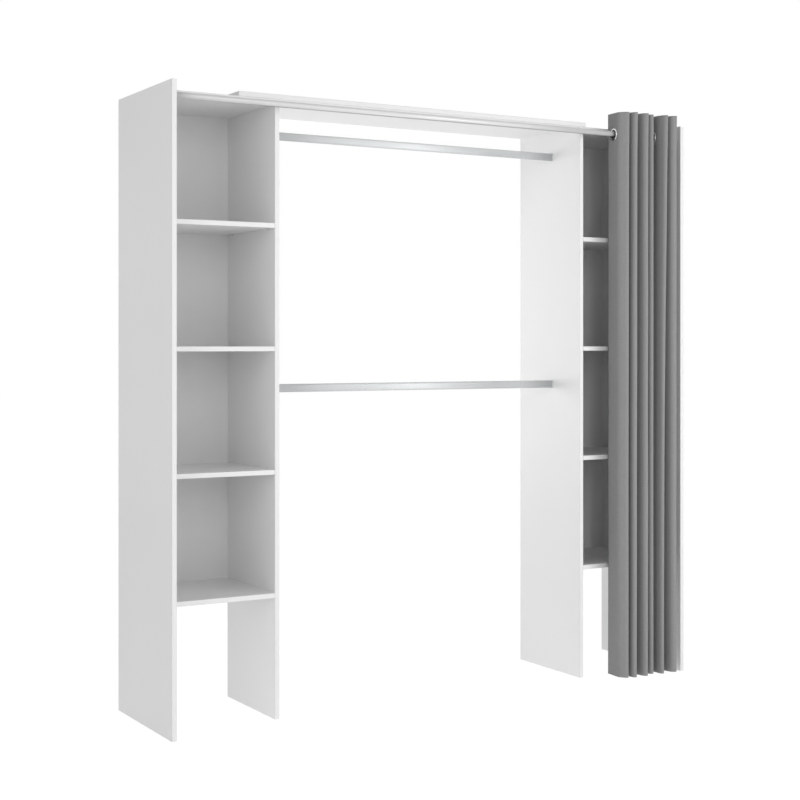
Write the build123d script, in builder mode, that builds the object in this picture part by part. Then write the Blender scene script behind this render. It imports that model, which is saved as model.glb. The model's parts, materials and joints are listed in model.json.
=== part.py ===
from build123d import *
import os

# Open wardrobe in white board: two shelf columns joined by a bridge board, two hanging rails
# between them, and a gathered eyelet curtain on a rod across the front.
# Millimetres. X runs to the right, Y to the rear and Z up. The origin is on the floor, under
# the middle of the space that the wardrobe and its curtain take up.

os.makedirs("parts", exist_ok=True)

# Carcass sizes
overall_width = 2034
outer_side_height = 2030
outer_side_depth = 474
board = 16
column_clear_width = 378
inner_side_setback = 96
column_drop = 18
column_top = outer_side_height - column_drop
edge_chamfer = 0.8

# Shelves: the lowest is fixed, the others lie on pegs
bottom_shelf_top = 410
shelf_pitch = 400
loose_shelf_count = 3
loose_shelf_play = 0.5
back_thickness = 3

# The bridge board lies on both columns, further over the left one than the right one
bridge_left_lap = 143
bridge_right_lap = 27

# Fittings in the boards. They are small and many, so each has a few flat sides
fitting_sides = 10
cam_sides = 12
fitting_inset = 50
hole_play = 0.1
cam_radius = 7.5
cam_height = 12.5
cam_setback = 24
cam_slot_depth = 1.5
cam_slot_width = 1.6
cam_window_play = 0.3
bolt_radius = 3
bolt_seat_depth = 11
dowel_radius = 4
dowel_length = 30
dowel_seat_depth = 11
dowel_end_play = 0.5
peg_radius = 2.5
peg_length = 17
peg_seat_depth = 8

# Hanging rails: oval tube in end sockets
upper_rail_drop = 94
upper_rail_height = column_top - upper_rail_drop
lower_rail_height = 1069
rail_setback = 172
rail_height = 28
rail_width = 14
rail_wall = 1
rail_end_play = 0.5
socket_play = 0.3
socket_wall = 1.2
socket_floor = 2
socket_length = 8
screw_radius = 1.6
screw_head_radius = 3.2
screw_head_height = 1.8
screw_length = 14
screw_spacing = 13

# Curtain rod: round tube in blind bores of the outer sides
rod_radius = 10
rod_wall = 1.2
rod_setback = 36
rod_drop = 44
rod_height = outer_side_height - rod_drop
rod_seat_depth = 10
rod_play = 0.3

# Curtain: cloth in standing folds, one eyelet on each flank between two folds
cloth_thickness = 1.2
curtain_rise = 75
curtain_floor_gap = 8
ridge_reach = 67
free_edge_margin = 9.5
fold_margin = 2.8
last_flank_gap = 39.5
fold_gap = 22.4
fold_gap_shares = (0.76, 0.97, 0.98, 1.06, 1.12, 0.90, 0.89, 1.32, 0.94, 0.69, 1.34)
ridge_reach_shares = (1, 1, 1, 0.75, 1, 1)

# Eyelet: a ring whose two raised flanges hold the cloth between them
eyelet_sides = 20
eyelet_play = 3
eyelet_barrel_wall = 1.2
eyelet_flange = 9.5
eyelet_bulge = 2
eyelet_slope = 1.6
clamp_play = 0.2
eyelet_rest_play = 0.3

# Planes and lines that the pieces share
half_width = overall_width / 2
hanging_half = half_width - column_clear_width - 2 * board
curtain_proud = ridge_reach - rod_setback
front_plane = (curtain_proud - outer_side_depth) / 2
rear_plane = front_plane + outer_side_depth
inner_front_plane = front_plane + inner_side_setback
board_depth = rear_plane - back_thickness - inner_front_plane
column_starts = {"left": -half_width + board, "right": hanging_half + board}
fixed_tops = (bottom_shelf_top, column_top)
loose_tops = [bottom_shelf_top + shelf_pitch * step for step in range(1, loose_shelf_count + 1)]
fitting_lines = (
    inner_front_plane + fitting_inset,
    inner_front_plane + board_depth - fitting_inset,
)
bolt_heights = [top - board / 2 for top in fixed_tops]
peg_heights = [top - board - peg_radius - hole_play for top in loose_tops]
rod_line = front_plane + rod_setback
rail_line = inner_front_plane + rail_setback
rail_heights = {"upper": upper_rail_height, "lower": lower_rail_height}
screw_lifts = (-screw_spacing / 2, screw_spacing / 2)
screw_heights = [height + lift for height in rail_heights.values() for lift in screw_lifts]
pilot_depth = screw_length - socket_floor

# Cams are out of sight, under the lowest shelf and on the top boards: height of the face and
# the way into the board, 1 for up
cam_faces = {bottom_shelf_top: (bottom_shelf_top - board, 1), column_top: (column_top, -1)}

# Faces that the column boards meet: X and the direction into the upright side
column_ends = [
    (end_x, outward)
    for start_x in column_starts.values()
    for end_x, outward in ((start_x, -1), (start_x + column_clear_width, 1))
]
hanging_ends = ((-hanging_half, -1), (hanging_half, 1))

# Rebates for the back panels, from the bottom shelf's underside to the column's top
rebate_bottom = bottom_shelf_top - board
rebate_height = column_top - rebate_bottom
rebate_middle = (column_top + rebate_bottom) / 2

# Upright dowels hold the bridge board to the top edges of the inner sides
dowel_xs = (-hanging_half - board / 2, hanging_half + board / 2)
dowel_lines = (fitting_lines[0] + fitting_inset, fitting_lines[1] - fitting_inset)


def save(builder, label):
    """Give a finished piece its name and write it"""
    builder.part.label = label
    export_step(builder.part, f"parts/{label}.step")


def across(x, direction):
    """Plane at right angles to the X axis that looks along direction, 1 or -1"""
    return Plane(origin=(x, 0, 0), x_dir=(0, 1, 0), z_dir=(direction, 0, 0))


def marks(direction, lines, heights):
    """Points on a plane of across, at each Y in lines and each Z in heights"""
    return [(line, direction * height) for line in lines for height in heights]


def side_panel(label, low_x, front, height, column_side):
    """Upright side whose column lies towards column_side, 1 for +X and -1 for -X"""
    is_outer = front == front_plane
    column_plane = across(low_x + board if column_side > 0 else low_x, column_side)
    other_plane = across(low_x if column_side > 0 else low_x + board, -column_side)

    # Seats of the fittings: plane, points, radius and depth
    seats = [
        (column_plane, marks(column_side, fitting_lines, bolt_heights), bolt_radius,
         bolt_seat_depth),
        (column_plane, marks(column_side, fitting_lines, peg_heights), peg_radius,
         peg_seat_depth),
    ]
    if not is_outer:
        seats += [
            (other_plane, marks(-column_side, [rail_line], screw_heights), screw_radius,
             pilot_depth),
            (Plane.XY.offset(column_top), [(low_x + board / 2, line) for line in dowel_lines],
             dowel_radius, dowel_length - dowel_seat_depth + dowel_end_play),
        ]

    with BuildPart() as side:
        with BuildSketch(Plane.YZ.offset(low_x)):
            with Locations((front, 0)):
                Rectangle(rear_plane - front, height, align=(Align.MIN, Align.MIN))
        extrude(amount=board)
        chamfer(side.edges().filter_by(Axis.Z).group_by(Axis.Y)[0], length=edge_chamfer)
        with BuildSketch(column_plane):
            with Locations((rear_plane - back_thickness / 2, column_side * rebate_middle)):
                Rectangle(back_thickness, rebate_height)
        extrude(amount=-board / 2, mode=Mode.SUBTRACT)
        for plane, points, radius, depth in seats:
            with BuildSketch(plane):
                with Locations(*points):
                    RegularPolygon(radius + hole_play, fitting_sides, major_radius=False)
            extrude(amount=-depth, mode=Mode.SUBTRACT)
        if is_outer:
            with BuildSketch(column_plane):
                with Locations((rod_line, column_side * rod_height)):
                    Circle(rod_radius + rod_play)
            extrude(amount=-rod_seat_depth, mode=Mode.SUBTRACT)
    save(side, label)


def column_board(label, low_x, top, play):
    """Shelf or top board between the two sides of a column"""
    ends = ((low_x, -1), (low_x + column_clear_width, 1)) if top in fixed_tops else ()
    with BuildPart() as blank:
        with BuildSketch(Plane.XY.offset(top - board)):
            with Locations((low_x + play, inner_front_plane)):
                Rectangle(column_clear_width - 2 * play, board_depth, align=(Align.MIN, Align.MIN))
        extrude(amount=board)
        chamfer(blank.edges().filter_by(Axis.X).group_by(Axis.Y)[0], length=edge_chamfer)

        # Bores for the cams and their bolts
        for end_x, outward in ends:
            cam_face, inward = cam_faces[top]
            with BuildSketch(Plane.XY.offset(cam_face)):
                with Locations(*[(end_x - outward * cam_setback, line) for line in fitting_lines]):
                    RegularPolygon(cam_radius + hole_play, cam_sides, major_radius=False)
            extrude(amount=inward * cam_height, mode=Mode.SUBTRACT)
            with BuildSketch(across(end_x, outward)):
                with Locations(*marks(outward, fitting_lines, [top - board / 2])):
                    RegularPolygon(bolt_radius + hole_play, fitting_sides, major_radius=False)
            extrude(amount=-cam_setback, mode=Mode.SUBTRACT)
    save(blank, label)


# Upright sides
side_panel("left_outer_side", -half_width, front_plane, outer_side_height, 1)
side_panel("left_inner_side", -hanging_half - board, inner_front_plane, column_top, -1)
side_panel("right_inner_side", hanging_half, inner_front_plane, column_top, 1)
side_panel("right_outer_side", half_width - board, front_plane, outer_side_height, -1)

# Shelves, top boards and back panels of both columns
for column, start_x in column_starts.items():
    column_board(f"{column}_shelf_1", start_x, bottom_shelf_top, 0)
    for number, top in enumerate(loose_tops, start=2):
        column_board(f"{column}_shelf_{number}", start_x, top, loose_shelf_play)
    column_board(f"{column}_top_board", start_x, column_top, 0)
    with BuildPart() as back_panel:
        with BuildSketch(Plane.XZ.offset(-rear_plane)):
            with Locations((start_x + column_clear_width / 2, rebate_middle)):
                Rectangle(column_clear_width + board, rebate_height)
        extrude(amount=back_thickness)
    save(back_panel, f"{column}_back_panel")

# Bridge board on the two columns
bridge_low_x = -hanging_half - bridge_left_lap
bridge_high_x = hanging_half + bridge_right_lap
with BuildPart() as bridge_board:
    with BuildSketch(Plane.XY.offset(column_top)):
        with Locations((bridge_low_x, inner_front_plane)):
            Rectangle(bridge_high_x - bridge_low_x, rear_plane - inner_front_plane,
                      align=(Align.MIN, Align.MIN))
    extrude(amount=board)
    chamfer(bridge_board.edges().filter_by(Axis.X).group_by(Axis.Y)[0], length=edge_chamfer)
    with BuildSketch(Plane.XY.offset(column_top)):
        with Locations(*[(x, line) for x in dowel_xs for line in dowel_lines]):
            RegularPolygon(dowel_radius + hole_play, fitting_sides, major_radius=False)
    extrude(amount=dowel_seat_depth, mode=Mode.SUBTRACT)
save(bridge_board, "bridge_board")

# Cam locks: slotted discs in the fixed boards
cam_window = 2 * (bolt_radius + cam_window_play)
cam_spots = [(end_x - outward * cam_setback, line)
             for end_x, outward in column_ends for line in fitting_lines]
with BuildPart() as cam_locks:
    for cam_face, inward in cam_faces.values():
        with BuildSketch(Plane.XY.offset(cam_face)):
            with Locations(*cam_spots):
                RegularPolygon(cam_radius, cam_sides, major_radius=False)
        extrude(amount=inward * cam_height)
        with BuildSketch(Plane.XY.offset(cam_face)):
            with Locations(*cam_spots):
                Rectangle(2 * cam_radius - 2 * cam_slot_width, cam_slot_width)
        extrude(amount=inward * cam_slot_depth, mode=Mode.SUBTRACT)
    for end_x, outward in column_ends:
        with BuildSketch(across(end_x, outward)):
            with Locations(*marks(outward, fitting_lines, bolt_heights)):
                Rectangle(cam_window, cam_window)
        extrude(amount=-cam_setback - bolt_radius, mode=Mode.SUBTRACT)
save(cam_locks, "cam_locks")

# Cam bolts: from a seat in the side panel to the middle of the cam that draws them in
with BuildPart() as cam_bolts:
    for end_x, outward in column_ends:
        with BuildSketch(across(end_x + outward * bolt_seat_depth, outward)):
            with Locations(*marks(outward, fitting_lines, bolt_heights)):
                RegularPolygon(bolt_radius, fitting_sides, major_radius=False)
        extrude(amount=-bolt_seat_depth - cam_setback)
save(cam_bolts, "cam_bolts")

# Dowels: two at each end of the bridge board, upright in the inner sides
with BuildPart() as wood_dowels:
    with BuildSketch(Plane.XY.offset(column_top + dowel_seat_depth)):
        with Locations(*[(x, line) for x in dowel_xs for line in dowel_lines]):
            RegularPolygon(dowel_radius, fitting_sides, major_radius=False)
    extrude(amount=-dowel_length)
save(wood_dowels, "wood_dowels")

# Shelf pegs under the ends of the loose shelves
with BuildPart() as shelf_pegs:
    for end_x, outward in column_ends:
        with BuildSketch(across(end_x + outward * peg_seat_depth, outward)):
            with Locations(*marks(outward, fitting_lines, peg_heights)):
                RegularPolygon(peg_radius, fitting_sides, major_radius=False)
        extrude(amount=-peg_length)
save(shelf_pegs, "shelf_pegs")

# Hanging rails, each in a pair of end sockets
socket_height = rail_height + 2 * (socket_play + socket_wall)
socket_width = rail_width + 2 * (socket_play + socket_wall)
rail_half = hanging_half - socket_floor - rail_end_play
for level, height in rail_heights.items():
    with BuildPart() as rail:
        with BuildSketch(Plane.YZ.offset(-rail_half)):
            with Locations((rail_line, height)):
                SlotOverall(rail_height, rail_width, rotation=90)
                SlotOverall(rail_height - 2 * rail_wall, rail_width - 2 * rail_wall,
                            rotation=90, mode=Mode.SUBTRACT)
        extrude(amount=2 * rail_half)
    save(rail, f"{level}_hanging_rail")

    with BuildPart() as sockets:
        for face_x, outward in hanging_ends:
            floor_plane = across(face_x, -outward)
            with BuildSketch(floor_plane):
                with Locations(*marks(-outward, [rail_line], [height])):
                    SlotOverall(socket_height, socket_width, rotation=90)
            extrude(amount=socket_length)
            with BuildSketch(floor_plane.offset(socket_floor)):
                with Locations(*marks(-outward, [rail_line], [height])):
                    SlotOverall(rail_height + 2 * socket_play, rail_width + 2 * socket_play,
                                rotation=90)
            extrude(amount=socket_length - socket_floor, mode=Mode.SUBTRACT)
            with BuildSketch(floor_plane):
                with Locations(*marks(-outward, [rail_line], screw_heights)):
                    RegularPolygon(screw_radius + hole_play, fitting_sides, major_radius=False)
            extrude(amount=socket_floor, mode=Mode.SUBTRACT)
    save(sockets, f"{level}_rail_sockets")

# Pan head screws that hold the sockets to the inner sides
with BuildPart() as socket_screws:
    for face_x, outward in hanging_ends:
        for radius, length in ((screw_radius, screw_length), (screw_head_radius, -screw_head_height)):
            with BuildSketch(across(face_x - outward * socket_floor, outward)):
                with Locations(*marks(outward, [rail_line], screw_heights)):
                    RegularPolygon(radius, fitting_sides, major_radius=False)
            extrude(amount=length)
save(socket_screws, "socket_screws")

# Curtain rod between the outer sides
rod_half = half_width - board + rod_seat_depth - rod_play
with BuildPart() as curtain_rod:
    with BuildSketch(Plane.YZ.offset(-rod_half)):
        with Locations((rod_line, rod_height)):
            Circle(rod_radius)
            Circle(rod_radius - rod_wall, mode=Mode.SUBTRACT)
    extrude(amount=2 * rod_half)
save(curtain_rod, "curtain_rod")

# Eyelets hang on the rod, so their centre is below its axis
eyelet_bore_radius = rod_radius + eyelet_play
eyelet_barrel_radius = eyelet_bore_radius + eyelet_barrel_wall
eyelet_outer_radius = eyelet_bore_radius + eyelet_flange
eyelet_height = rod_height + rod_radius + eyelet_rest_play - eyelet_bore_radius
clamp_half = cloth_thickness / 2 + clamp_play

# Flanks stand square to the rod. They are counted from the leading edge, at the left
flank_xs = [half_width - board - last_flank_gap]
for share in reversed(fold_gap_shares):
    flank_xs.insert(0, flank_xs[0] - share * fold_gap)

for number, x in enumerate(flank_xs, start=1):
    centre_plane = Plane(origin=(x, rod_line, eyelet_height), x_dir=(0, 1, 0), z_dir=(1, 0, 0))
    with BuildPart() as eyelet:
        with BuildSketch(centre_plane.offset(-clamp_half)):
            RegularPolygon(eyelet_barrel_radius, eyelet_sides)
        extrude(amount=2 * clamp_half)
        for side in (-1, 1):
            with BuildSketch(centre_plane.offset(side * clamp_half)):
                RegularPolygon(eyelet_outer_radius, eyelet_sides)
            extrude(amount=side * eyelet_bulge)
        rims = eyelet.faces().sort_by(Axis.X)
        chamfer(rims[0].outer_wire().edges() + rims[-1].outer_wire().edges(), length=eyelet_slope)
        with BuildSketch(centre_plane):
            RegularPolygon(eyelet_bore_radius, eyelet_sides)
        extrude(amount=clamp_half + eyelet_bulge, both=True, mode=Mode.SUBTRACT)
    save(eyelet, f"eyelet_{number:02d}")

# The cloth runs forward and back between the flanks, turning in a half round at each fold
widest_fold = max(fold_gap_shares) * fold_gap
half_cloth = cloth_thickness / 2
valley_line = rod_line + eyelet_outer_radius + widest_fold / 2 + fold_margin
free_edge_line = rod_line + eyelet_outer_radius + free_edge_margin
with BuildPart() as curtain_cloth:
    with BuildSketch(Plane.XY.offset(curtain_floor_gap)):
        with BuildLine() as fold_line:
            cursor = (flank_xs[0], free_edge_line)
            for index, x in enumerate(flank_xs[:-1]):
                radius = (flank_xs[index + 1] - x) / 2
                to_front = index % 2 == 0
                if to_front:
                    reach = ridge_reach * ridge_reach_shares[index // 2]
                    turn_line = rod_line - reach + half_cloth + radius
                    turn = 90
                else:
                    turn_line = valley_line - radius
                    turn = -90
                Line(cursor, (x, turn_line))
                ahead = (0, -1) if to_front else (0, 1)
                first_quarter = JernArc((x, turn_line), ahead, radius, turn)
                JernArc(first_quarter @ 1, (1, 0), radius, turn)
                cursor = (flank_xs[index + 1], turn_line)
            Line(cursor, (flank_xs[-1], free_edge_line))
        trace(line_width=cloth_thickness)
    extrude(amount=rod_height + curtain_rise - curtain_floor_gap)
    with BuildSketch(Plane.YZ.offset(flank_xs[0] - fold_gap)):
        with Locations((rod_line, eyelet_height)):
            RegularPolygon(eyelet_barrel_radius + clamp_play, eyelet_sides)
    extrude(amount=flank_xs[-1] - flank_xs[0] + 2 * fold_gap, mode=Mode.SUBTRACT)
save(curtain_cloth, "curtain_cloth")
print("flat width of the cloth", round(fold_line.wires()[0].length), "mm")
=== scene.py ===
# Dresses the packed wardrobe: finishes for its boards and metal, smooth tubes, rings and
# fittings, and the folded curtain. Metres. X runs to the right, Y to the rear and Z up.
import json
import math
from typing import NamedTuple

import bmesh
import bpy
from mathutils import Matrix, Vector, noise


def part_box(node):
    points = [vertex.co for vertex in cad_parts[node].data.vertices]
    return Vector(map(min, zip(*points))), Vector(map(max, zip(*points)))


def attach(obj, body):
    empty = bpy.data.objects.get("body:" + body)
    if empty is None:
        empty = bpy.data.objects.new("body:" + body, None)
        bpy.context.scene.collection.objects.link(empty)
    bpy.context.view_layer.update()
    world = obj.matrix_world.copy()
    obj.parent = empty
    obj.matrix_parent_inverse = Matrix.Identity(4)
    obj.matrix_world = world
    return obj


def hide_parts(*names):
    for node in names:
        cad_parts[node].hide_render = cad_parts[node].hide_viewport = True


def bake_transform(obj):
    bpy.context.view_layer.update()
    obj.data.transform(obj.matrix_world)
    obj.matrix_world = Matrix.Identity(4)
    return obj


bl_info = {
    "name": "Open wardrobe with curtain",
    "version": (1, 0, 0),
    "blender": (4, 5, 0),
    "location": "3D View > Sidebar > Wardrobe",
    "description": "Finishes, tubes, rings, fittings and curtain of an open wardrobe",
    "category": "Object",
}

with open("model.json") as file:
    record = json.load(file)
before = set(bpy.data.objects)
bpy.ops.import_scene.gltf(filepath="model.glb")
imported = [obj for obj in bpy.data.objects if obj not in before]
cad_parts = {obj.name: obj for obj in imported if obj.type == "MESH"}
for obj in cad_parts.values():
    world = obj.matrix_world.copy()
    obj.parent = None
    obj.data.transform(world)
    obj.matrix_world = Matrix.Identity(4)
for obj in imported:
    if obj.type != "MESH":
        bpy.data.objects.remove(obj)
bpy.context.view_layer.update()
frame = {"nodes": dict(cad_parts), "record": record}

# Turns a shape that was drawn upright, along Z, so that it runs along X with its Y upwards
ALONG_X = Matrix(((0, 0, 1, 0), (1, 0, 0, 0), (0, 1, 0, 0), (0, 0, 0, 1)))

# Stretch of the fine marks on tubes, which are drawn along X
DRAWN = (0.01, 1, 1)

RING_COUNT = 12
RINGS = [f"eyelet_{number:02d}" for number in range(1, RING_COUNT + 1)]
RING_BODIES = {ring: f"ring_{ring[-2:]}" for ring in RINGS[1:-1]}
RING_BODIES[RINGS[0]] = "curtain_lead"
RING_BODIES[RINGS[-1]] = "curtain_tail"

# Two places closer than this are one
SAME_PLACE = 1e-6


# Sizes and colours that a user may change


def length(name, description, default):
    """Length setting in metres"""
    return bpy.props.FloatProperty(name=name, description=description, default=default,
                                   unit="LENGTH", subtype="DISTANCE")


def share(name, description, default):
    """Setting from 0 to 1"""
    return bpy.props.FloatProperty(name=name, description=description, default=default,
                                   min=0, max=1, subtype="FACTOR")


def amount(name, description, default):
    """Setting without a unit"""
    return bpy.props.FloatProperty(name=name, description=description, default=default, min=0)


def count(name, description, default):
    """Whole number setting"""
    return bpy.props.IntProperty(name=name, description=description, default=default, min=1)


def colour(name, description, default):
    """Colour setting, linear red, green and blue"""
    return bpy.props.FloatVectorProperty(name=name, description=description, default=default,
                                         size=3, min=0, max=1, subtype="COLOR")


class FinishSettings(bpy.types.PropertyGroup):
    """Colours of the boards, the metal and the cloth"""

    board: colour("Boards", "White melamine on the boards", (0.81, 0.81, 0.81))
    edge_tape: colour("Edge tape", "Tape on the front edges of the boards", (0.81, 0.81, 0.81))
    back_face: colour("Backs, front", "Lacquered face of the back panels", (0.80, 0.80, 0.80))
    raw_face: colour("Backs, rear", "Raw rear face of the back panels", (0.34, 0.23, 0.14))
    rail: colour("Rails", "Satin metal of the hanging rails", (0.645, 0.66, 0.665))
    socket: colour("Sockets", "Cast metal of the rail sockets", (0.66, 0.69, 0.69))
    rod: colour("Rod", "Satin chrome of the curtain rod", (0.71, 0.71, 0.71))
    chrome: colour("Chrome", "Chrome of the eyelets", (0.72, 0.72, 0.73))
    # Painted shade: darkens the bore and inner slopes of the eyelets, in place of shadow and
    # reflections
    bore: colour("Eyelet bore", "Darker inner wall of the eyelets", (0.04, 0.04, 0.04))
    zinc: colour("Zinc", "Zinc plating of the fittings", (0.55, 0.55, 0.53))
    peg: colour("Pegs", "Satin zinc of the shelf pegs", (0.74, 0.74, 0.74))
    beech: colour("Beech", "Wood of the dowels", (0.68, 0.47, 0.27))
    cloth: colour("Curtain", "Colour of the curtain's cloth", (0.285, 0.285, 0.287))


class MetalSettings(bpy.types.PropertyGroup):
    """Tubes, sockets, rings and fittings"""

    rail_wall: length("Rail wall", "Wall of the hanging rails", 0.001)
    rod_wall: length("Rod wall", "Wall of the curtain rod", 0.0012)
    socket_wall: length("Socket wall", "Wall of the rail sockets", 0.0012)
    socket_floor: length("Socket floor", "Floor of the rail sockets", 0.002)
    rim: length("Rounded rim", "Rounding of the rims of sockets and fittings", 0.0004)
    round_steps: count("Steps round a tube", "Faces round a tube, ring or fitting", 56)
    ring_bore: length("Ring bore", "Radius of the hole in an eyelet", 0.013)
    ring_wall: length("Ring wall", "Wall of the barrel between the two flanges", 0.0012)
    ring_clamp: length("Ring gap", "Gap between the flanges, for the cloth", 0.0016)
    cam_slot: length("Cam slot", "Width of the cross slot in a cam", 0.0016)
    cam_slot_depth: length("Cam slot depth", "Depth of the cross slot in a cam", 0.0015)
    nail_pitch: length("Nail pitch", "Distance between the nails of the back panels", 0.18)
    nail_head: length("Nail head", "Radius of a nail's head", 0.0016)


class CurtainSettings(bpy.types.PropertyGroup):
    """Cloth, folds and hems of the curtain"""

    thickness: length("Thickness", "Thickness of the cloth", 0.0012)
    edge_turn: bpy.props.FloatProperty(
        name="Edge turn", description="How far the leading flank and its ring are turned",
        default=math.radians(5.7), unit="ROTATION", subtype="ANGLE")
    splay: length("Splay", "How far the ridges lean sideways above the rings", 0.003)
    ripple: length("Ripple", "Uneven waves of the cloth below the rings", 0.0012)
    free_edge: length("Free edge", "How far a free edge lies behind its ring", 0.0095)
    ring_room: length("Room round rings", "Flat cloth kept round the flange of a ring", 0.008)
    top_hem: length("Top hem", "Height of the hem that the rings are set in", 0.105)
    low_hem: length("Lower hem", "Height of the hem over the floor", 0.06)
    seam: length("Seam", "Depth of the groove along a seam", 0.0002)
    flank_steps: count("Steps on a flank", "Columns of faces on a flank between two folds", 12)
    turn_steps: count("Steps in a turn", "Columns of faces round a fold", 10)
    row_height: length("Row height", "Height of a row of faces", 0.026)
    thread_pitch: length("Thread pitch", "Distance between the threads of the weave", 0.0009)


class StageSettings(bpy.types.PropertyGroup):
    """Camera, lamps, world and floor"""

    camera_place: bpy.props.FloatVectorProperty(
        name="Camera", description="Place of the camera", default=(-2.76108, -4.58445, 1.21094),
        unit="LENGTH", subtype="TRANSLATION")
    camera_turn: bpy.props.FloatProperty(
        name="Camera turn", description="How far the camera looks to the right of straight on",
        default=math.radians(30.321), unit="ROTATION", subtype="ANGLE")
    focal_length: bpy.props.FloatProperty(
        name="Focal length", description="Focal length of the camera, in millimetres",
        default=68.40, min=1)
    shift: bpy.props.FloatProperty(
        name="Lens shift", description="Upward shift of the lens, as a share of the picture",
        default=-0.0674)
    daylight: amount("Daylight", "Strength of the even light from all round", 0.35)
    floor_light: amount("Floor light", "Light that the floor gives off by itself", 0.37)
    lamp_powers: bpy.props.FloatVectorProperty(
        name="Lamps", description="Power of each lamp", default=(30, 66, 33, 38), size=4, min=0,
        unit="POWER")
    floor_glow: share("Floor glow", "White that the camera sees without any light", 0.99)
    floor_shade: share("Floor shade", "How much of the floor's own light the camera sees", 0.04)


# Materials


def start_material(name):
    """New material with its node tree and shader"""
    material = bpy.data.materials.new(name)
    material.use_nodes = True
    return material, material.node_tree, material.node_tree.nodes["Principled BSDF"]


def add(tree, kind, inputs=None, **settings):
    """Add a node. A socket among the inputs is linked, anything else is set"""
    node = tree.nodes.new(kind)
    for name, value in settings.items():
        setattr(node, name, value)
    for name, value in (inputs or {}).items():
        if isinstance(value, bpy.types.NodeSocket):
            tree.links.new(value, node.inputs[name])
        else:
            node.inputs[name].default_value = value
    return node


def grains(tree, scale, stretch=(1, 1, 1), detail=3, rough=0.5):
    """Noise on object coordinates. A share under 1 stretches it along that axis"""
    place = add(tree, "ShaderNodeTexCoord").outputs["Object"]
    mapped = add(tree, "ShaderNodeMapping", {"Vector": place, "Scale": stretch})
    texture = add(tree, "ShaderNodeTexNoise", {"Vector": mapped.outputs["Vector"], "Scale": scale,
                                               "Detail": detail, "Roughness": rough})
    return texture.outputs["Fac"]


def span(tree, value, low=0, high=1, start=0.3, end=0.7):
    """Map a value that runs from start to end onto low to high"""
    mapped = add(tree, "ShaderNodeMapRange", {"Value": value, "From Min": start, "From Max": end,
                                              "To Min": low, "To Max": high})
    return mapped.outputs["Result"]


def between(tree, factor, first, second):
    """Mix two colours"""
    mixed = add(tree, "ShaderNodeMix", data_type="RGBA")
    tree.links.new(factor, mixed.inputs["Factor"])
    for name, value in (("A", first), ("B", second)):
        socket = [s for s in mixed.inputs if s.name == name and s.type == "RGBA"][0]
        if isinstance(value, bpy.types.NodeSocket):
            tree.links.new(value, socket)
        else:
            socket.default_value = (*value, 1)
    return [s for s in mixed.outputs if s.type == "RGBA"][0]


def grey(tone):
    """Opaque grey"""
    return tone, tone, tone, 1


def toned(tone, factor):
    """Colour made lighter or darker"""
    return tuple(min(1, part * factor) for part in tone)


def facing(tree, axis, start, end):
    """1 where a face looks along an axis, 0 where it doesn't: the normal runs from start to end"""
    normal = add(tree, "ShaderNodeNewGeometry").outputs["Normal"]
    parts = add(tree, "ShaderNodeSeparateXYZ", {"Vector": normal})
    return span(tree, parts.outputs[axis], start=start, end=end)


def raise_bumps(tree, shader, height, strength, distance):
    """Bump from a height"""
    bump = add(tree, "ShaderNodeBump", {"Height": height, "Strength": strength,
                                        "Distance": distance})
    tree.links.new(bump.outputs["Normal"], shader.inputs["Normal"])


def white_melamine(finish):
    """Board faces with a faint pearl, a tape colour on front edges and a fine glue line"""
    material, tree, shader = start_material("white_melamine")
    cloudy = grains(tree, scale=2.5)
    face = between(tree, span(tree, cloudy), toned(finish.board, 0.985), finish.board)
    tape = facing(tree, "Y", start=-0.85, end=-0.95)
    glue = facing(tree, "Y", start=-0.35, end=-0.6)
    lined = between(tree, glue, face, toned(finish.edge_tape, 0.82))
    taped = between(tree, tape, lined, finish.edge_tape)
    tree.links.new(taped, shader.inputs["Base Color"])
    pearl = grains(tree, scale=900, detail=2)
    tree.links.new(span(tree, pearl, low=0.40, high=0.50), shader.inputs["Roughness"])
    raise_bumps(tree, shader, pearl, strength=0.12, distance=0.0002)
    shader.inputs["Specular IOR Level"].default_value = 0.4
    return material


def lacquered_hardboard(finish):
    """Back panels: white lacquer in front, raw pressed fibres behind"""
    material, tree, shader = start_material("lacquered_hardboard")
    fibres = grains(tree, scale=160, detail=6, rough=0.7)
    raw = between(tree, span(tree, fibres), toned(finish.raw_face, 0.7),
                  toned(finish.raw_face, 1.3))
    rear = facing(tree, "Y", start=0.4, end=0.6)
    lacquer = between(tree, span(tree, grains(tree, scale=3)),
                      toned(finish.back_face, 0.98), finish.back_face)
    tree.links.new(between(tree, rear, lacquer, raw), shader.inputs["Base Color"])
    tree.links.new(span(tree, fibres, low=0.5, high=0.62), shader.inputs["Roughness"])
    raise_bumps(tree, shader, fibres, strength=0.2, distance=0.0002)
    return material


def metal(name, tone, roughness, scale, depth, stretch=(1, 1, 1), mirror=1, painted_underside_shade=1):
    """Metal with fine marks, which may be drawn out along one axis. A satin one mirrors less and
    scatters more. Faces that look down may get a painted shade, a darker tone that stands in for
    a dark reflection along the underside"""
    material, tree, shader = start_material(name)
    shader.inputs["Metallic"].default_value = mirror
    marks = grains(tree, scale, stretch, detail=4, rough=0.6)
    marked = between(tree, span(tree, marks), toned(tone, 0.93), toned(tone, 1.04))
    # Painted shade: faces that look down get a darker tone, standing in for a dark reflection
    if painted_underside_shade < 1:
        below = facing(tree, "Z", start=-0.72, end=-0.80)
        marked = between(tree, below, marked, toned(tone, painted_underside_shade))
    tree.links.new(marked, shader.inputs["Base Color"])
    tree.links.new(span(tree, marks, low=roughness * 0.8, high=roughness * 1.25),
                   shader.inputs["Roughness"])
    raise_bumps(tree, shader, marks, strength=depth, distance=0.0001)
    return material


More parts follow.
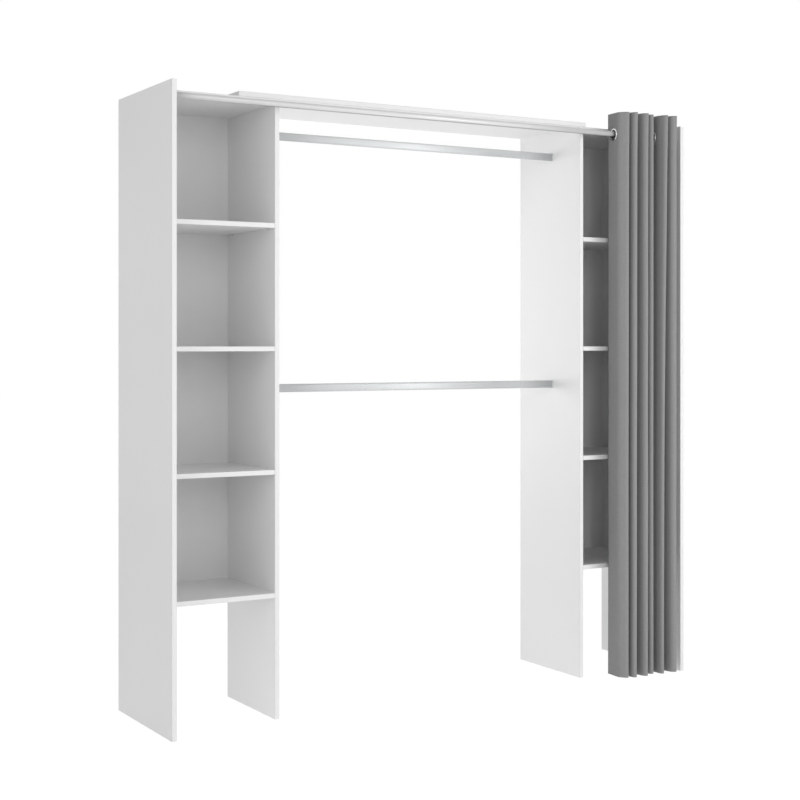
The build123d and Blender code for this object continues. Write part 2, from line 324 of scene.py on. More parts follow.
def beech_wood(finish):
    """Pressed beech dowels with short dark flecks"""
    material, tree, shader = start_material("beech_wood")
    flecks = grains(tree, scale=900, stretch=(1, 1, 0.08), detail=4, rough=0.65)
    flecked = between(tree, span(tree, flecks), toned(finish.beech, 0.72),
                      toned(finish.beech, 1.1))
    tree.links.new(flecked, shader.inputs["Base Color"])
    tree.links.new(span(tree, flecks, low=0.55, high=0.75), shader.inputs["Roughness"])
    raise_bumps(tree, shader, flecks, strength=0.3, distance=0.0002)
    return material


def woven_cloth(finish, curtain):
    """Plain weave on the cloth's own map, whose units are metres of flat cloth"""
    material, tree, shader = start_material("woven_cloth")
    flat = add(tree, "ShaderNodeUVMap", uv_map="flat_cloth").outputs["UV"]
    # At scale 1 a wave of the texture is pi / 10 long
    waves = math.pi / 10 / curtain.thread_pitch
    threads = []
    for direction in ("X", "Y"):
        bands = add(tree, "ShaderNodeTexWave", {"Vector": flat, "Scale": waves,
                                                "Distortion": 0.6, "Detail": 1},
                    wave_type="BANDS", bands_direction=direction)
        threads.append(bands.outputs["Fac"])
    weave = add(tree, "ShaderNodeMath", {0: threads[0], 1: threads[1]}, operation="MULTIPLY")
    slubs = []
    for stretch in ((1, 0.06, 1), (0.06, 1, 1)):
        mapped = add(tree, "ShaderNodeMapping", {"Vector": flat, "Scale": stretch})
        streaks = add(tree, "ShaderNodeTexNoise", {"Vector": mapped.outputs["Vector"],
                                                   "Scale": 420, "Detail": 3})
        slubs.append(streaks.outputs["Fac"])
    slub = add(tree, "ShaderNodeMath", {0: slubs[0], 1: slubs[1]}, operation="ADD")
    slubbed, woven = slub.outputs["Value"], weave.outputs["Value"]
    ground = between(tree, span(tree, slubbed, start=0.7, end=1.3),
                     toned(finish.cloth, 0.93), toned(finish.cloth, 1.06))
    raised = between(tree, span(tree, woven, high=0.16, start=0, end=1), ground,
                     toned(finish.cloth, 1.45))
    tree.links.new(raised, shader.inputs["Base Color"])
    tree.links.new(span(tree, slubbed, low=0.82, high=0.94, start=0.7, end=1.3),
                   shader.inputs["Roughness"])
    shader.inputs["Specular IOR Level"].default_value = 0.1
    raise_bumps(tree, shader, woven, strength=0.25, distance=0.0002)
    return material


# Shapes


def corners(node):
    """Lowest and highest corner of a node, as vectors"""
    low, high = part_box(node)
    return Vector(low), Vector(high)


def add_piece(name, shape, material, body=None, sharp_angle=35):
    """Make a piece of a bmesh, smooth where it is round. It rides on a body if one is given"""
    mesh = bpy.data.meshes.new(name)
    shape.to_mesh(mesh)
    shape.free()
    mesh.materials.append(material)
    mesh.shade_smooth()
    mesh.set_sharp_from_angle(angle=math.radians(sharp_angle))
    piece = bpy.data.objects.new(name, mesh)
    bpy.context.scene.collection.objects.link(piece)
    if body:
        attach(piece, body)
    return piece


def round_bar(shape, low, high, steps, capped=True):
    """Bar along X that fills a box: round, or an upright oval where the box is taller than wide"""
    size, centre = high - low, (low + high) / 2
    stand = Matrix.Translation(centre) @ ALONG_X @ Matrix.Rotation(math.pi / steps, 4, "Z")
    radius = size.y / 2
    bar = bmesh.ops.create_cone(shape, cap_ends=capped, segments=steps, radius1=radius,
                                radius2=radius, depth=size.x, matrix=stand)["verts"]
    for vert in bar:
        vert.co.z += math.copysign((size.z - size.y) / 2, vert.co.z - centre.z)
    return bar


def end_faces(verts, x):
    """Faces of a bar that lie square to it at one end"""
    faces = {face for vert in verts for face in vert.link_faces}
    return [f for f in faces if all(abs(v.co.x - x) < SAME_PLACE for v in f.verts)]


def soften(shape, edges, offset):
    """Round some edges"""
    bmesh.ops.bevel(shape, geom=list(edges), offset=offset, offset_type="OFFSET", segments=2,
                    profile=0.5, affect="EDGES", material=-1)


# Operators


class WARDROBE_OT_finish_boards(bpy.types.Operator):
    """Give the boards, backs and hidden fittings of the CAD model their finishes"""

    bl_idname = "wardrobe.finish_boards"
    bl_label = "Finish boards"

    def execute(self, context):
        finish = context.scene.wardrobe_finish
        finishes = {
            "white_board": white_melamine(finish),
            "white_hardboard": lacquered_hardboard(finish),
            "beech": beech_wood(finish),
            "zinc_fittings": metal("zinc_plating", finish.zinc, roughness=0.34, scale=300,
                                   depth=0.1),
        }
        slots = {row["node"]: row["material_slot"] for row in frame["record"]["subparts"]}
        for name, node in frame["nodes"].items():
            if slots.get(name) in finishes:
                for slot in node.material_slots:
                    slot.material = finishes[slots[name]]
        return {"FINISHED"}


class WARDROBE_OT_add_back_nails(bpy.types.Operator):
    """Add the flat heads of the nails along the edges of the back panels"""

    bl_idname = "wardrobe.add_back_nails"
    bl_label = "Back panel nails"

    # Distances of the nails from a panel's sides, of the first and last of those rows from its
    # ends, and of the nails between the rows from its ends
    side_inset, row_inset, end_inset = 0.004, 0.02, 0.008
    end_shares = (0.25, 0.5, 0.75)

    # A head's thickness, how far its middle lies inside the panel and the rounding of its rim
    thickness, sunk, rim = 0.0012, 0.0002, 0.0003
    head_steps = 12

    def execute(self, context):
        sizes = context.scene.wardrobe_metal
        shape = bmesh.new()
        for column in ("left", "right"):
            low, high = corners(f"{column}_back_panel")
            for x, z in self.spots(low, high, sizes.nail_pitch):
                stand = (Matrix.Translation((x, high.y - self.sunk, z))
                         @ Matrix.Rotation(math.pi / 2, 4, "X"))
                head = bmesh.ops.create_cone(shape, cap_ends=True, segments=self.head_steps,
                                             radius1=sizes.nail_head, radius2=sizes.nail_head,
                                             depth=self.thickness, matrix=stand)["verts"]
                rims = {e for v in head for e in v.link_edges
                        if all(p.co.y > high.y for p in e.verts)}
                soften(shape, rims, self.rim)
        steel = metal("nail_steel", context.scene.wardrobe_finish.zinc, roughness=0.4, scale=300,
                      depth=0.1)
        nails = add_piece("back_panel_nails", shape, steel, "carcass")
        return {"FINISHED"}

    def spots(self, low, high, pitch):
        """Places of the nails of one panel, as X and Z"""
        height = high.z - low.z
        rows = max(2, round(height / pitch))
        spots = [(x, low.z + self.row_inset + (height - 2 * self.row_inset) * row / rows)
                 for x in (low.x + self.side_inset, high.x - self.side_inset)
                 for row in range(rows + 1)]
        spots += [(low.x + (high.x - low.x) * share, z) for share in self.end_shares
                  for z in (low.z + self.end_inset, high.z - self.end_inset)]
        return spots


class WARDROBE_OT_add_hanging_rails(bpy.types.Operator):
    """Add the two oval hanging rails"""

    bl_idname = "wardrobe.add_hanging_rails"
    bl_label = "Hanging rails"

    def execute(self, context):
        sizes = context.scene.wardrobe_metal
        satin = metal("rail_satin", context.scene.wardrobe_finish.rail, roughness=0.5, scale=700,
                      depth=0.15, stretch=DRAWN, mirror=0.3)
        for level in ("upper", "lower"):
            node = f"{level}_hanging_rail"
            shape = bmesh.new()
            round_bar(shape, *corners(node), sizes.round_steps, capped=False)
            rail = add_piece(f"{level}_oval_rail", shape, satin, "carcass")
            wall = rail.modifiers.new("wall", "SOLIDIFY")
            wall.thickness, wall.offset = sizes.rail_wall, -1
            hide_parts(node)
        return {"FINISHED"}


class WARDROBE_OT_add_rail_sockets(bpy.types.Operator):
    """Add the cast sockets that hold the ends of the hanging rails"""

    bl_idname = "wardrobe.add_rail_sockets"
    bl_label = "Rail sockets"

    # How far a socket reaches over the end of its rail
    grip = 0.0055

    def execute(self, context):
        sizes = context.scene.wardrobe_metal
        cast = metal("socket_casting", context.scene.wardrobe_finish.socket, roughness=0.36,
                     scale=260, depth=0.15)
        for level in ("upper", "lower"):
            node = f"{level}_rail_sockets"
            low, high = corners(node)
            rail_end = corners(f"{level}_hanging_rail")[0].x
            depth = rail_end - low.x - sizes.socket_floor + self.grip
            shape = bmesh.new()
            for wall_x, mouth_x in ((low.x, low.x + sizes.socket_floor + depth),
                                    (high.x, high.x - sizes.socket_floor - depth)):
                near, far = low.copy(), high.copy()
                near.x, far.x = min(wall_x, mouth_x), max(wall_x, mouth_x)
                body = round_bar(shape, near, far, sizes.round_steps)
                soften(shape, end_faces(body, mouth_x)[0].edges, sizes.rim)
                mouth = end_faces(shape.verts, mouth_x)
                bmesh.ops.inset_region(shape, faces=mouth, use_boundary=True,
                                       use_even_offset=True,
                                       thickness=sizes.socket_wall - sizes.rim)
                bmesh.ops.inset_region(shape, faces=mouth, use_boundary=True,
                                       use_even_offset=True, thickness=0, depth=-depth)
            sockets = add_piece(f"{level}_end_sockets", shape, cast, "carcass")
            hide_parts(node)
        return {"FINISHED"}


class WARDROBE_OT_add_fittings(bpy.types.Operator):
    """Add the cams of the fixed boards and the pegs of the loose shelves"""

    bl_idname = "wardrobe.add_fittings"
    bl_label = "Cams and pegs"

    # A cam, the reach of its cross slot, and where its middle lies: from the end of its board, and
    # from the outside of the CAD model's cams
    cam_radius, cam_height, cross_reach = 0.0075, 0.0125, 0.0055
    cam_from_end, cam_from_outside = 0.024, 0.0077

    # A peg, how deep it sits in the side, the gap under its shelf and the faces round it
    peg_radius, peg_length, peg_depth, peg_gap, peg_steps = 0.0025, 0.017, 0.008, 0.0001, 20

    def execute(self, context):
        sizes = context.scene.wardrobe_metal
        finish = context.scene.wardrobe_finish
        self.add_cams(sizes, metal("fitting_zinc", finish.zinc, roughness=0.30, scale=400,
                                   depth=0.1))
        self.add_pegs(sizes, metal("peg_zinc", finish.peg, roughness=0.45, scale=400, depth=0.1,
                                   mirror=0.3))
        return {"FINISHED"}

    def add_cams(self, sizes, zinc):
        """Round cams with a cross slot, at the places of the CAD model's"""
        shape = bmesh.new()
        for centre, up in self.cam_places():
            disc = self.slotted_disc(sizes)
            turn = Matrix.Identity(4) if up > 0 else Matrix.Rotation(math.pi, 4, "X")
            bmesh.ops.transform(disc, verts=disc.verts[:], matrix=Matrix.Translation(
                centre - Vector((0, 0, up * self.cam_height / 2))) @ turn)
            part = bpy.data.meshes.new("cam")
            disc.to_mesh(part)
            disc.free()
            shape.from_mesh(part)
            bpy.data.meshes.remove(part)
        cams = add_piece("slotted_cams", shape, zinc, "carcass")
        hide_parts("cam_locks")

    def slotted_disc(self, sizes):
        """Disc round the origin with a rounded rim and a cross slot in its top"""
        slot, reach = sizes.cam_slot / 2, self.cross_reach
        disc = bmesh.new()
        bmesh.ops.create_cone(disc, cap_ends=True, segments=sizes.round_steps // 2,
                              radius1=self.cam_radius, radius2=self.cam_radius,
                              depth=self.cam_height)
        soften(disc, self.top_faces(disc)[0].edges, sizes.rim)
        for axis in (Vector((1, 0, 0)), Vector((0, 1, 0))):
            for offset in (-reach, -slot, slot, reach):
                flat = self.top_faces(disc)
                edges = {e for f in flat for e in f.edges}
                verts = {v for f in flat for v in f.verts}
                bmesh.ops.bisect_plane(disc, geom=[*verts, *edges, *flat],
                                       plane_co=axis * offset, plane_no=axis)
        cross = []
        for face in self.top_faces(disc):
            middle = face.calc_center_median()
            aside = sorted((abs(middle.x), abs(middle.y)))
            if aside[0] < slot and aside[1] < reach:
                cross.append(face)
        bmesh.ops.inset_region(disc, faces=cross, use_boundary=True, thickness=0,
                               depth=-sizes.cam_slot_depth)
        return disc

    def top_faces(self, disc):
        """Faces that look straight up"""
        return [f for f in disc.faces if f.normal.z > 0.999]

    def cam_places(self):
        """Middle of each cam's visible face, with 1 where it looks up and -1 where down"""
        low, high = corners("cam_locks")
        places = []
        for column in ("left", "right"):
            start, end = corners(f"{column}_shelf_1")
            for x in (start.x + self.cam_from_end, end.x - self.cam_from_end):
                for y in (low.y + self.cam_from_outside, high.y - self.cam_from_outside):
                    places += [(Vector((x, y, low.z)), -1), (Vector((x, y, high.z)), 1)]
        return places

    def add_pegs(self, sizes, zinc):
        """Pegs with rounded ends, under the ends of the loose shelves"""
        low, high = corners("shelf_pegs")
        shape = bmesh.new()
        radius, length = self.peg_radius, self.peg_length
        for column in ("left", "right"):
            start, end = corners(f"{column}_shelf_1")
            for number in (2, 3, 4):
                top = corners(f"{column}_shelf_{number}")[0].z - self.peg_gap
                for x in (start.x - self.peg_depth, end.x + self.peg_depth - length):
                    for y in (low.y + radius, high.y - radius):
                        middle = Vector((x, y, top - radius))
                        peg = round_bar(shape, middle - Vector((0, radius, radius)),
                                        middle + Vector((length, radius, radius)),
                                        self.peg_steps)
                        for end_x in (x, x + length):
                            soften(shape, end_faces(peg, end_x)[0].edges, sizes.rim)
                            peg = [v for v in shape.verts if (v.co - middle).length < 2 * length]
        pegs = add_piece("rounded_pegs", shape, zinc, "carcass")
        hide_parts("shelf_pegs")


class WARDROBE_OT_add_curtain_rod(bpy.types.Operator):
    """Add the round chrome rod that the curtain hangs on"""

    bl_idname = "wardrobe.add_curtain_rod"
    bl_label = "Curtain rod"

    def execute(self, context):
        sizes = context.scene.wardrobe_metal
        shape = bmesh.new()
        round_bar(shape, *corners("curtain_rod"), sizes.round_steps, capped=False)
        # A thin painted shade along the rod's underside stands in for a dark reflection
        satin = metal("rod_chrome", context.scene.wardrobe_finish.rod, roughness=0.42, scale=500,
                      depth=0.05, stretch=DRAWN, mirror=0.2, painted_underside_shade=0.55)
        rod = add_piece("chrome_rod", shape, satin, "carcass")
        wall = rod.modifiers.new("wall", "SOLIDIFY")
        wall.thickness, wall.offset = sizes.rod_wall, -1
        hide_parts("curtain_rod")
        return {"FINISHED"}


class WARDROBE_OT_add_eyelets(bpy.types.Operator):
    """Add the domed chrome rings that are set in the cloth"""

    bl_idname = "wardrobe.add_eyelets"
    bl_label = "Eyelets"

    # How far the painted shade of the bore reaches onto the flanges, and the faces round a
    # flange's section
    lip, flange_steps = 0.004, 20

    def execute(self, context):
        sizes = context.scene.wardrobe_metal
        finish = context.scene.wardrobe_finish
        chrome = metal("eyelet_chrome", finish.chrome, roughness=0.10, scale=400, depth=0.05)
        # The bore's material is painted shade, standing in for shadow and dark reflections in the
        # hole
        bore = metal("eyelet_bore", finish.bore, roughness=0.3, scale=400, depth=0.05)
        for ring in RINGS:
            low, high = corners(ring)
            middle = (low + high) / 2
            shape = self.ring_shape(sizes, (high.x - low.x) / 2, (high.z - low.z) / 2)
            turn = context.scene.wardrobe_curtain.edge_turn if ring == RINGS[0] else 0
            bmesh.ops.transform(shape, verts=shape.verts[:], matrix=Matrix.Translation(
                middle) @ Matrix.Rotation(-turn, 4, "Z"))
            eyelet = add_piece(f"domed_{ring}", shape, chrome, RING_BODIES[ring])
            eyelet.data.materials.append(bore)
            # Faces near the hole get the painted shade
            for face in eyelet.data.polygons:
                out = math.hypot(face.center.y - middle.y, face.center.z - middle.z)
                face.material_index = int(out < sizes.ring_bore + self.lip)
            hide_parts(ring)
        return {"FINISHED"}

    def ring_shape(self, sizes, half_length, outer):
        """Two domed flanges and the barrel between them, round the X axis"""
        clamp = sizes.ring_clamp / 2
        dome = half_length - clamp
        centre, half_width = (outer + sizes.ring_bore) / 2, (outer - sizes.ring_bore) / 2
        upright = Matrix.Rotation(math.pi / 2, 4, "X")
        shape = bmesh.new()
        for side in (-1, 1):
            section = self.section(shape, self.flange_steps, upright)
            for vert in section:
                vert.co.x = side * (clamp + dome * max(0, vert.co.x))
                vert.co.z = centre + half_width * vert.co.z
            self.spin(shape, section, sizes.round_steps)
        barrel = self.section(shape, 4, upright @ Matrix.Rotation(math.pi / 4, 4, "Z"))
        for vert in barrel:
            vert.co.x = math.copysign(clamp, vert.co.x)
            vert.co.z = sizes.ring_bore + (sizes.ring_wall if vert.co.z > 0 else 0)
        self.spin(shape, barrel, sizes.round_steps)
        bmesh.ops.remove_doubles(shape, verts=shape.verts[:], dist=SAME_PLACE)
        bmesh.ops.recalc_face_normals(shape, faces=shape.faces[:])
        return shape

    def section(self, shape, steps, stand):
        """Unfilled circle of radius 1, which becomes a section"""
        return bmesh.ops.create_circle(shape, cap_ends=False, segments=steps, radius=1,
                                       matrix=stand)["verts"]

    def spin(self, shape, verts, steps):
        """Turn a section about the X axis"""
        edges = {e for v in verts for e in v.link_edges}
        bmesh.ops.spin(shape, geom=[*verts, *edges], cent=(0, 0, 0), axis=(1, 0, 0),
                       angle=2 * math.pi, steps=steps, use_merge=True)


class Ridge(NamedTuple):
    """Front edge of a fold. Its lengths are in metres"""

    reach_share: float      # how far it reaches forward, of the longest reach
    bow: float              # how far the flank before it bows towards it
    bow_power: float        # power that the bow grows by
    close_share: float      # part of the bow that closes the fold
    lean: float             # how far it leans to the right
    low_lean: float         # how much more it leans at the floor
    slant: float            # how far the rear of the flank before it slants at the floor


# From the left
RIDGES = (
    Ridge(0.862, 0.0225, 1.25, 0, 0.0150, -0.0053, 0),
    Ridge(1.00, 0.007, 2, 0.3, 0.0018, -0.003, 0),
    Ridge(1.00, 0.010, 2, 0.3, 0.0046, -0.002, 0),
    Ridge(0.75, 0.006, 2, 0.3, 0.0018, -0.002, 0),
    Ridge(1.00, 0.009, 2, 0.3, 0.0037, -0.019, 0.019),
    Ridge(1.00, 0.011, 2, 0.3, 0.0032, 0, 0),
)


class WARDROBE_OT_add_curtain(bpy.types.Operator):
    """Add the curtain: one sheet in standing folds, threaded on the rings"""

    bl_idname = "wardrobe.add_curtain"
    bl_label = "Curtain"

    # Rows of faces: beside the edges, on both sides of a seam, and up and down from the rings
    edge_row, seam_row, ring_row, ring_rows = 0.004, 0.003, 0.0045, 6

    # How far below the rings the cloth starts to hang freely, and its ridges to lean
    hang_start, splay_start = 0.03, 0.12

    # Ripple: how fast it grows below the rings, its share at the flat flanks and its share in
    # depth, then its waves to a flank and to a metre with a seed, sideways and in depth
    ripple_growth, flat_share, depth_share = 6, 0.4, 0.6
    side_waves, depth_waves = (0.9, 1.7, 3.1), (0.7, 2.3, 9.4)

    # Room round the barrel of a ring, and the share of the hole's radius that is cleared of faces
    hole_room, cleared_share = 0.0006, 0.92

    def execute(self, context):
        self.settings = context.scene.wardrobe_curtain
        self.low, self.high = corners("curtain_cloth")
        boxes = [corners(ring) for ring in RINGS]
        self.flanks = [(low.x + high.x) / 2 for low, high in boxes]
        self.ring_middle = (boxes[0][0] + boxes[0][1]) / 2
        self.ring_outer = (boxes[0][1].z - boxes[0][0].z) / 2
        columns, rows = self.fold_columns(), self.row_heights()

        shape = bmesh.new()
        bmesh.ops.create_grid(shape, x_segments=len(columns) - 1, y_segments=len(rows) - 1, size=1)
        flat = shape.loops.layers.uv.new("flat_cloth")
        places = {}
        for vert in shape.verts:
            column = round((vert.co.x + 1) / 2 * (len(columns) - 1))
            row = round((vert.co.y + 1) / 2 * (len(rows) - 1))
            places[vert] = (column, row)
        for face in shape.faces:
            for loop in face.loops:
                column, row = places[loop.vert]
                loop[flat].uv = (columns[column][3], rows[row])
        for vert, (column, row) in places.items():
            vert.co = self.hang(*columns[column][:3], rows[row])
        self.cut_holes(shape)
        bmesh.ops.recalc_face_normals(shape, faces=shape.faces[:])

        finish = context.scene.wardrobe_finish
        cloth = add_piece("folded_curtain", shape, woven_cloth(finish, self.settings),
                          sharp_angle=180)
        body = cloth.modifiers.new("thickness", "SOLIDIFY")
        body.thickness, body.offset = self.settings.thickness, 0
        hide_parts("curtain_cloth")
        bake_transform(cloth)
        return {"FINISHED"}

    def fold_columns(self):
        """Columns of the sheet: X, Y, place along the flanks and metres of flat cloth"""
        cloth = self.settings
        half = cloth.thickness / 2
        middle = self.ring_middle.y
        front, rear = self.low.y + half, self.high.y - half
        free = middle + self.ring_outer + cloth.free_edge
        points = []
        start = free + cloth.free_edge / 2
        for index, x in enumerate(self.flanks):
            to_front = index % 2 == 0
            last = index == len(self.flanks) - 1
            radius = 0 if last else (self.flanks[index + 1] - x) / 2
            if last:
                end = free
            elif to_front:
                reach = (middle - front) * RIDGES[index // 2].reach_share
                end = middle - reach + radius
            else:
                end = rear - radius
            for step in range(cloth.flank_steps):
                points.append((x, start + (end - start) * step / cloth.flank_steps, index))
            if last:
                points.append((x, end, index))
                break
            side = -1 if to_front else 1
            for step in range(cloth.turn_steps):
                angle = math.pi * step / cloth.turn_steps
                points.append((x + radius - radius * math.cos(angle),
                               end + side * radius * math.sin(angle),
                               index + step / cloth.turn_steps))
            start = end
        columns, run = [], 0
        for number, (x, y, along) in enumerate(points):
            if number:
                run += math.dist((x, y), points[number - 1][:2])
            columns.append((x, y, along, run))
        return columns

    def seams(self):
        """Heights of the seams of both hems"""
        return self.low.z + self.settings.low_hem, self.high.z - self.settings.top_hem

    def row_heights(self):
        """Heights of the rows, closer together round the rings and along the hems"""
        cloth = self.settings
        ring = self.ring_middle.z
        marks = {self.low.z, self.low.z + self.edge_row, self.high.z, self.high.z - self.edge_row}
        for seam in self.seams():
            marks |= {seam - self.seam_row, seam, seam + self.seam_row}
        steps = range(-self.ring_rows, self.ring_rows + 1)
        marks |= {ring + self.ring_row * step for step in steps}
        heights = sorted(marks)
        rows = []
        for start, end in zip(heights, heights[1:]):
            parts = max(1, round((end - start) / cloth.row_height))
            rows += [start + (end - start) * part / parts for part in range(parts)]
        return rows + [heights[-1]]

    def hang(self, x, y, along, z):
        """Place of a point of the sheet: flat at the rings, bent towards the ridges"""
        cloth = self.settings
        middle = self.ring_middle
        reach = middle.y - self.low.y
        ahead = middle.y - y
        forward, backward = max(0, ahead / reach), max(0, -ahead / (self.high.y - middle.y))
        drop = min(1, max(0, (middle.z - self.hang_start - z) / (middle.z - self.low.z)))
        rise = max(0, (z - middle.z + self.splay_start)
                   / (self.high.z - middle.z + self.splay_start))
        index = int(along)
        turn = along - index
        on_ridge = index % 2 == 0
        share_left = 1 - turn if on_ridge else 0

        # Flanks stay flat between the flanges of their rings, and a little beyond
        flat = self.ring_outer + cloth.ring_room
        bend = max(0, ahead - flat) / (reach - flat)
        low = 1 - (1 - drop) ** 2
        ridge = RIDGES[index // 2]
        x += (ridge.bow * bend ** ridge.bow_power * (share_left - ridge.close_share)
              + (ridge.lean + ridge.low_lean * low) * bend)
        x -= ridge.slant * low * (1 - forward) * share_left
        if not on_ridge and index < len(RINGS) - 1:
            x -= RIDGES[index // 2 + 1].slant * low * turn
        x += cloth.splay * bend * bend * rise * rise
        if index == 0:
            x -= math.tan(cloth.edge_turn) * ahead * share_left

        loose = cloth.ripple * min(1, self.ripple_growth * drop)
        x += loose * (self.flat_share + forward + backward) * self.wave(along, z, self.side_waves)
        y += loose * self.depth_share * self.wave(along, z, self.depth_waves)
        if any(abs(z - seam) < SAME_PLACE for seam in self.seams()):
            x += cloth.seam if on_ridge else -cloth.seam
        return Vector((x, y, z))

    def wave(self, along, z, waves):
        """Smooth noise from -1 to 1, along the flanks and up the cloth"""
        to_flank, to_metre, seed = waves
        return noise.noise(Vector((along * to_flank, z * to_metre, seed)))

    def cut_holes(self, shape):
        """Open the sheet where the barrel of a ring goes through, and round the hole's edge"""
        sizes = bpy.context.scene.wardrobe_metal
        hole = sizes.ring_bore + sizes.ring_wall + self.hole_room
        for x in self.flanks:
            middle = Vector((x, self.ring_middle.y, self.ring_middle.z))
            inside = [f for f in shape.faces
                      if (f.calc_center_median() - middle).length < hole * self.cleared_share]
            verts = {v for f in inside for v in f.verts}
            bmesh.ops.delete(shape, geom=inside, context="FACES")
            for vert in verts:
                if vert.is_valid:
                    away = vert.co - middle
                    away.x = 0
                    place = middle + away.normalized() * hole
                    vert.co.y, vert.co.z = place.y, place.z


WHITE = (1, 1, 1, 1)

# Lamps: name, place and the length of a side
LAMPS = (
    ("front_left", (-1.6, -4.5, 2.4), 2.0),
    ("front_right", (2.2, -3.8, 1.6), 2.0),
    ("rear", (-0.5, 2.6, 1.3), 1.6),
    ("left", (-4.5, -2.5, 2.6), 2.5),
)


class WARDROBE_OT_set_stage(bpy.types.Operator):
    """Set the camera, the lamps, the world and the white floor"""

    bl_idname = "wardrobe.set_stage"
    bl_label = "Stage"

    # Width of the camera's sensor in millimetres, and how far it sees
    sensor_width, sight = 36, 200

    # Point that the lamps face, and the floor's radius, edge faces and reflectance
    lamp_aim = (0, 0, 1)
    floor_radius, floor_steps, floor_tone = 30, 96, 0.8

    def execute(self, context):
        stage = context.scene.wardrobe_stage
        context.scene.view_settings.view_transform = "Standard"
        lens = bpy.data.cameras.new("camera")
        lens.sensor_width, lens.clip_end = self.sensor_width, self.sight
        lens.lens, lens.shift_y = stage.focal_length, stage.shift
        camera = bpy.data.objects.new("camera", lens)
        camera.location = stage.camera_place
        camera.rotation_euler = (math.pi / 2, 0, -stage.camera_turn)
        context.scene.collection.objects.link(camera)
        context.scene.camera = camera

        for (name, place, size), power in zip(LAMPS, stage.lamp_powers):
            self.add_lamp(name, place, size, power)
        self.light_world(context.scene, stage)
        self.lay_floor(stage)
        return {"FINISHED"}

    def add_lamp(self, name, place, size, power):
        """Square lamp that faces the middle of the wardrobe"""
        lamp = bpy.data.lights.new(name, "AREA")
        lamp.size, lamp.energy = size, power
        holder = bpy.data.objects.new(name, lamp)
        holder.location = place
        way = Vector(self.lamp_aim) - Vector(place)
        holder.rotation_euler = way.to_track_quat("-Z", "Y").to_euler()
        bpy.context.scene.collection.objects.link(holder)

    def seen_directly(self, tree):
        """1 for what the camera sees directly, in gloss or through glass"""
        path = add(tree, "ShaderNodeLightPath")
        first = add(tree, "ShaderNodeMath", {0: path.outputs["Is Camera Ray"],
                                             1: path.outputs["Is Glossy Ray"]},
                    operation="MAXIMUM")
        both = add(tree, "ShaderNodeMath", {0: first.outputs["Value"],
                                            1: path.outputs["Is Transmission Ray"]},
                   operation="MAXIMUM")
        return both.outputs["Value"]

    def light_world(self, scene, stage):
        """Even daylight, seen as plain white"""
        world = bpy.data.worlds.new("white_studio")
        world.use_nodes = True
        scene.world = world
        tree = world.node_tree
        light = tree.nodes["Background"]
        light.inputs["Color"].default_value = WHITE
        light.inputs["Strength"].default_value = stage.daylight
        white = add(tree, "ShaderNodeBackground", {"Color": WHITE, "Strength": 1})
        mixed = add(tree, "ShaderNodeMixShader", {0: self.seen_directly(tree),
                                                  1: light.outputs[0], 2: white.outputs[0]})
        tree.links.new(mixed.outputs[0], tree.nodes["World Output"].inputs["Surface"])

    def lay_floor(self, stage):
        """Round floor: pale for the light, and near white with a faint shadow to the camera"""
        shape = bmesh.new()
        bmesh.ops.create_circle(shape, cap_ends=True, segments=self.floor_steps,
                                radius=self.floor_radius)
        mesh = bpy.data.meshes.new("floor")
        shape.to_mesh(mesh)
        shape.free()
        material = bpy.data.materials.new("studio_floor")
        material.use_nodes = True
        tree = material.node_tree
        tree.nodes.remove(tree.nodes["Principled BSDF"])
        pale = add(tree, "ShaderNodeBsdfDiffuse", {"Color": grey(self.floor_tone)})
        light = add(tree, "ShaderNodeEmission", {"Color": WHITE, "Strength": stage.floor_light})
        bounce = add(tree, "ShaderNodeAddShader", {0: pale.outputs[0], 1: light.outputs[0]})
        shaded = add(tree, "ShaderNodeBsdfDiffuse", {"Color": grey(stage.floor_shade)})
        glow = add(tree, "ShaderNodeEmission", {"Color": WHITE, "Strength": stage.floor_glow})
        seen = add(tree, "ShaderNodeAddShader", {0: shaded.outputs[0], 1: glow.outputs[0]})
        mixed = add(tree, "ShaderNodeMixShader", {0: self.seen_directly(tree),
                                                  1: bounce.outputs[0], 2: seen.outputs[0]})
        tree.links.new(mixed.outputs[0], tree.nodes["Material Output"].inputs["Surface"])
        mesh.materials.append(material)
        floor = bpy.data.objects.new("floor", mesh)
        bpy.context.scene.collection.objects.link(floor)


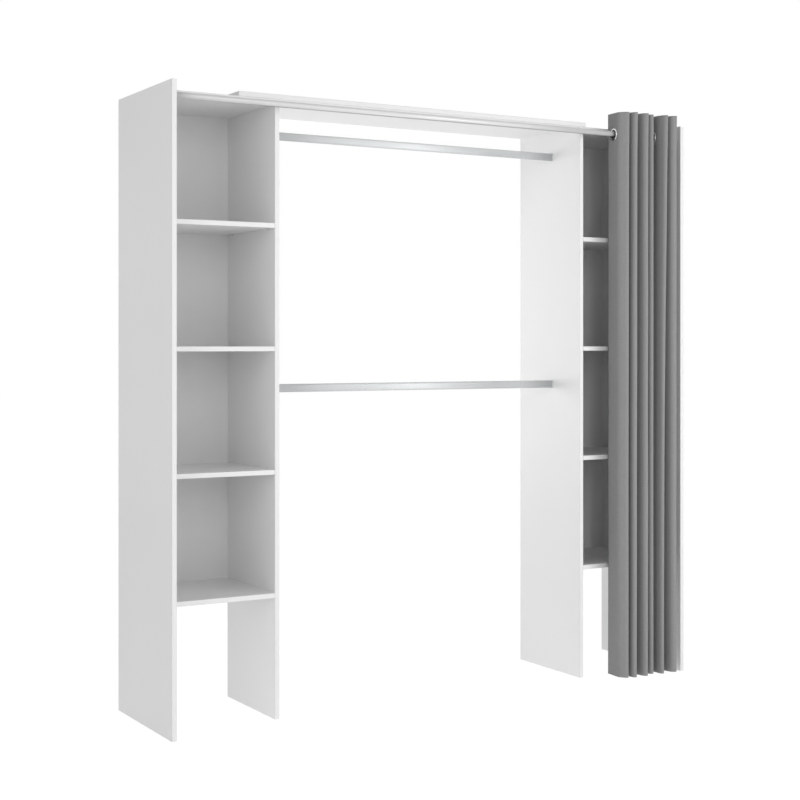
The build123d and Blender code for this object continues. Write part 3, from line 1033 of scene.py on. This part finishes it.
OPERATORS = (
    WARDROBE_OT_finish_boards,
    WARDROBE_OT_add_back_nails,
    WARDROBE_OT_add_hanging_rails,
    WARDROBE_OT_add_rail_sockets,
    WARDROBE_OT_add_fittings,
    WARDROBE_OT_add_curtain_rod,
    WARDROBE_OT_add_eyelets,
    WARDROBE_OT_add_curtain,
    WARDROBE_OT_set_stage,
)
SETTINGS = {
    "wardrobe_finish": FinishSettings,
    "wardrobe_metal": MetalSettings,
    "wardrobe_curtain": CurtainSettings,
    "wardrobe_stage": StageSettings,
}


class WARDROBE_PT_panel(bpy.types.Panel):
    """Settings and operators of the wardrobe"""

    bl_idname = "WARDROBE_PT_panel"
    bl_label = "Wardrobe"
    bl_space_type = "VIEW_3D"
    bl_region_type = "UI"
    bl_category = "Wardrobe"

    def draw(self, context):
        for name, group in SETTINGS.items():
            box = self.layout.box()
            box.label(text=group.__doc__)
            for setting in group.__annotations__:
                box.prop(getattr(context.scene, name), setting)
        for operator in OPERATORS:
            self.layout.operator(operator.bl_idname)


def register():
    """Register the classes and hang the settings on the scene"""
    for group in (*SETTINGS.values(), *OPERATORS, WARDROBE_PT_panel):
        bpy.utils.register_class(group)
    for name, group in SETTINGS.items():
        setattr(bpy.types.Scene, name, bpy.props.PointerProperty(type=group))


def unregister():
    """Take the settings and the classes away again"""
    for name in SETTINGS:
        delattr(bpy.types.Scene, name)
    for group in (WARDROBE_PT_panel, *reversed(OPERATORS), *SETTINGS.values()):
        bpy.utils.unregister_class(group)


def main():
    """Dress the wardrobe"""
    register()
    bpy.ops.wardrobe.finish_boards()
    bpy.ops.wardrobe.add_back_nails()
    bpy.ops.wardrobe.add_hanging_rails()
    bpy.ops.wardrobe.add_rail_sockets()
    bpy.ops.wardrobe.add_fittings()
    bpy.ops.wardrobe.add_curtain_rod()
    bpy.ops.wardrobe.add_eyelets()
    bpy.ops.wardrobe.add_curtain()
    bpy.ops.wardrobe.set_stage()


if __name__ == "__main__":
    main()
